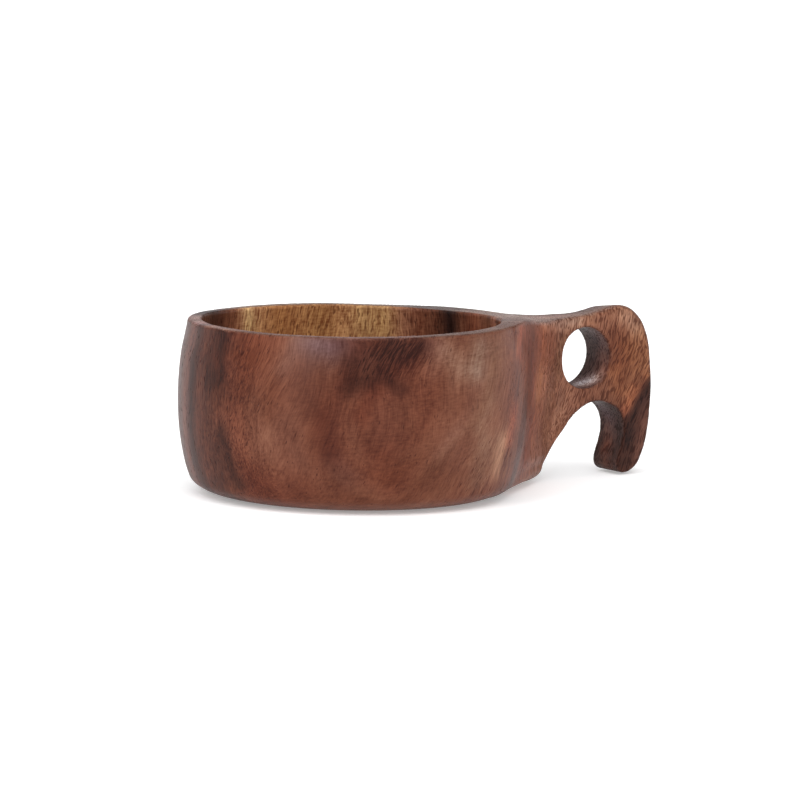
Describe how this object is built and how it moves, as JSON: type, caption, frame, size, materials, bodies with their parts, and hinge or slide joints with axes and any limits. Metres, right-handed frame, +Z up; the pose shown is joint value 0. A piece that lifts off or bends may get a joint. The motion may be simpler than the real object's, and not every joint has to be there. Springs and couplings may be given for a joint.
{
  "type": "wooden cup",
  "caption": "Round barrel-sided drinking cup carved from one block of wood, with a flat handle that has a finger hole and a hooked end.",
  "frame": {"origin": "centre of the bowl's flat foot, on the surface that the cup stands on", "axes": "+Z up through the bowl's mouth, +X from the bowl towards the handle, the handle's flat cheeks face -Y and +Y"},
  "size_m": [0.1735, 0.1154, 0.0579],
  "materials": {
    "wood": "satin clear-finished dark hardwood, red-brown heartwood with a golden sapwood streak inside the bowl"
  },
  "bodies": {
    "root": {"carved_cup": "wood"}
  },
  "joints": []
}
